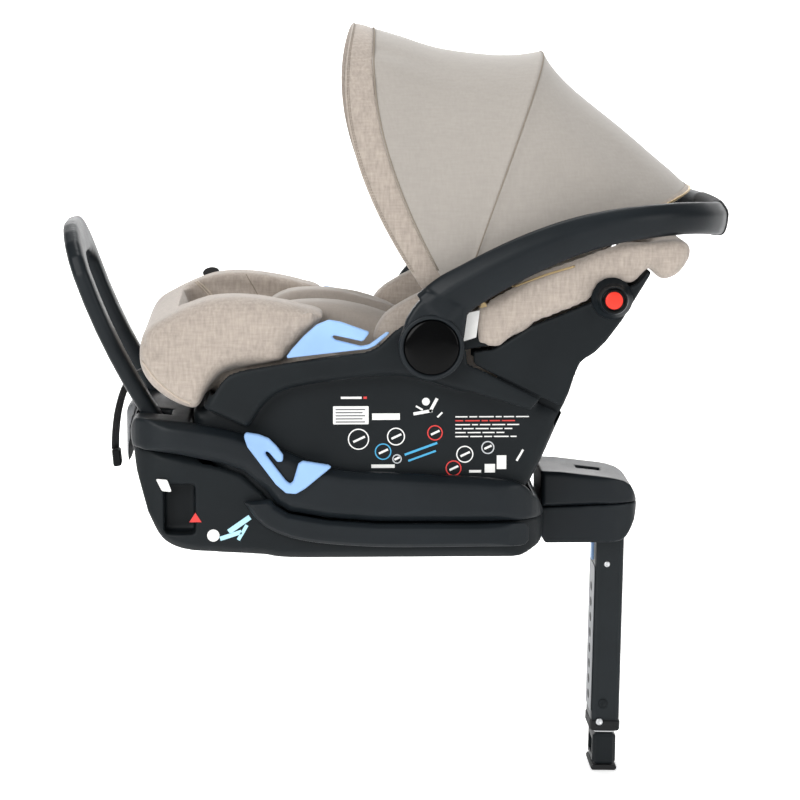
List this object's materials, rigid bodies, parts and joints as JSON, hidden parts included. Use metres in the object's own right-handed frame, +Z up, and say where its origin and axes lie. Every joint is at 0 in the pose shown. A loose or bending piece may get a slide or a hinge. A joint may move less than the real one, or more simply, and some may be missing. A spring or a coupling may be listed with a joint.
{
  "type": "infant car seat",
  "caption": "Rear-facing infant carrier with carry handle and folding canopy, on a base with anti-rebound bar and load leg.",
  "frame": {"origin": "centre of the base's flat underside, where it rests on the vehicle seat", "axes": "+Z up, +X from the foot end to the head end, the child's left towards -Y"},
  "size_m": [0.7873, 0.448, 0.8992],
  "materials": {
    "black_plastic": "fine moulded grain",
    "grey_plastic": "fine moulded grain",
    "gloss_black": "polished",
    "blue_plastic": "satin",
    "red_plastic": "satin",
    "rubber_grip": "matt",
    "painted_steel": "satin powder coat",
    "zinc_steel": "zinc plated",
    "melange_fabric": "melange weave",
    "insert_fabric": "smooth knit",
    "canopy_fabric": "tight weave",
    "webbing": "woven webbing",
    "white_label": "satin tape"
  },
  "bodies": {
    "base": {"base_upper_shell": "black_plastic", "base_lower_shell": "black_plastic", "base_end_cap": "grey_plastic", "latch_bar_front": "zinc_steel", "latch_bar_rear": "zinc_steel", "anti_rebound_bar": "black_plastic", "tail_top_cover": "black_plastic", "tail_bottom_cover": "black_plastic", "leg_indicator": "grey_plastic", "leg_pivot_pin": "zinc_steel", "base_side_panel_left": "black_plastic", "base_side_panel_right": "black_plastic", "anchor_strap_tab_left": "white_label", "anchor_strap_tab_right": "white_label", "base_belt_hook_left": "blue_plastic", "base_belt_hook_right": "blue_plastic"},
    "leg": {"leg_outer_tube": "painted_steel", "leg_collar": "rubber_grip"},
    "leg_button": {"leg_release_button": "blue_plastic"},
    "leg_inner": {"leg_inner_tube": "zinc_steel", "leg_foot": "black_plastic", "leg_foot_sole": "rubber_grip"},
    "carrier": {"carrier_shell": "black_plastic", "seat_pad": "melange_fabric", "infant_insert": "insert_fabric", "crotch_strap": "webbing", "buckle": "black_plastic", "strap_guide": "black_plastic", "adjuster_strap": "webbing", "adjuster_strap_end": "black_plastic", "carrier_belt_hook_left": "blue_plastic", "carrier_belt_hook_right": "blue_plastic", "handle_pivot_left": "black_plastic", "handle_pivot_right": "black_plastic", "shoulder_strap_left": "webbing", "shoulder_strap_right": "webbing"},
    "buckle_button": {"buckle_button": "red_plastic"},
    "release_lever": {"release_lever": "black_plastic"},
    "handle": {"handle_frame": "black_plastic", "handle_grip": "rubber_grip"},
    "handle_button_left": {"handle_button_left": "gloss_black"},
    "handle_button_right": {"handle_button_right": "gloss_black"},
    "backrest": {"backrest_shell": "black_plastic", "rear_belt_guide": "blue_plastic", "head_support": "insert_fabric", "backrest_cover": "melange_fabric", "backrest_arm_left": "black_plastic", "backrest_arm_right": "black_plastic", "canopy_pin_left": "black_plastic", "canopy_pin_right": "black_plastic"},
    "side_pod_left": {"side_pod_left": "black_plastic", "side_pod_disc_left": "red_plastic"},
    "side_pod_right": {"side_pod_right": "black_plastic", "side_pod_disc_right": "red_plastic"},
    "canopy_mid": {"canopy_mid_bow": "black_plastic", "canopy_rear_panel": "canopy_fabric"},
    "canopy_front": {"canopy_front_bow": "black_plastic", "canopy_rim_band": "melange_fabric", "canopy_front_panel": "canopy_fabric"}
  },
  "joints": [
    {"name": "carrier_lift", "type": "slide", "parent": "base", "child": "carrier", "axis": [0, 0, 1], "range_m": [0, 0.25]},
    {"name": "handle_swing", "type": "hinge", "parent": "carrier", "child": "handle", "pos_m": [0.08, 0, 0.252], "axis": [0, -1, 0], "range_deg": [0, 125]},
    {"name": "handle_button_left_press", "type": "slide", "parent": "handle", "child": "handle_button_left", "axis": [0, 1, 0], "range_m": [0, 0.0035], "stiffness_N_per_m": 900, "springref_m": -0.002},
    {"name": "handle_button_right_press", "type": "slide", "parent": "handle", "child": "handle_button_right", "axis": [0, -1, 0], "range_m": [0, 0.0035], "stiffness_N_per_m": 900, "springref_m": -0.002},
    {"name": "backrest_recline", "type": "hinge", "parent": "carrier", "child": "backrest", "pos_m": [0.08, 0, 0.252], "axis": [0, 1, 0], "range_deg": [0, 15], "deforming": ["shoulder_strap_left", "shoulder_strap_right"]},
    {"name": "canopy_fold", "type": "hinge", "parent": "backrest", "child": "canopy_mid", "pos_m": [0.095, 0, 0.293], "axis": [0, 1, 0], "range_deg": [0, 30], "deforming": ["canopy_rear_panel"]},
    {"name": "canopy_front_fold", "type": "hinge", "parent": "canopy_mid", "child": "canopy_front", "pos_m": [0.095, 0, 0.293], "axis": [0, 1, 0], "range_deg": [0, 30], "deforming": ["canopy_front_panel"]},
    {"name": "side_pod_left_slide", "type": "slide", "parent": "backrest", "child": "side_pod_left", "axis": [0, -1, 0], "range_m": [0, 0.02]},
    {"name": "side_pod_right_slide", "type": "slide", "parent": "backrest", "child": "side_pod_right", "axis": [0, 1, 0], "range_m": [0, 0.02]},
    {"name": "leg_fold", "type": "hinge", "parent": "base", "child": "leg", "pos_m": [0.303, 0, 0.018], "axis": [0, 1, 0], "range_deg": [0, 87]},
    {"name": "leg_extend", "type": "slide", "parent": "leg", "child": "leg_inner", "axis": [-0.0209, 0, -0.9998], "range_m": [0, 0.11]},
    {"name": "leg_button_press", "type": "slide", "parent": "leg", "child": "leg_button", "axis": [0.9998, 0, -0.0209], "range_m": [0, 0.003], "stiffness_N_per_m": 800, "springref_m": -0.002},
    {"name": "release_lever_pull", "type": "hinge", "parent": "carrier", "child": "release_lever", "pos_m": [0.2365, 0, 0.153], "axis": [0, -1, 0], "range_deg": [0, 14], "stiffness_Nm_per_rad": 0.6, "springref_deg": -8.59},
    {"name": "buckle_button_press", "type": "slide", "parent": "carrier", "child": "buckle_button", "axis": [-0.7828, 0, -0.6222], "range_m": [0, 0.002], "stiffness_N_per_m": 900, "springref_m": -0.002}
  ],
  "couplings": [
    {"joint": "canopy_front_fold", "follows": "canopy_fold", "ratio": 1}
  ]
}
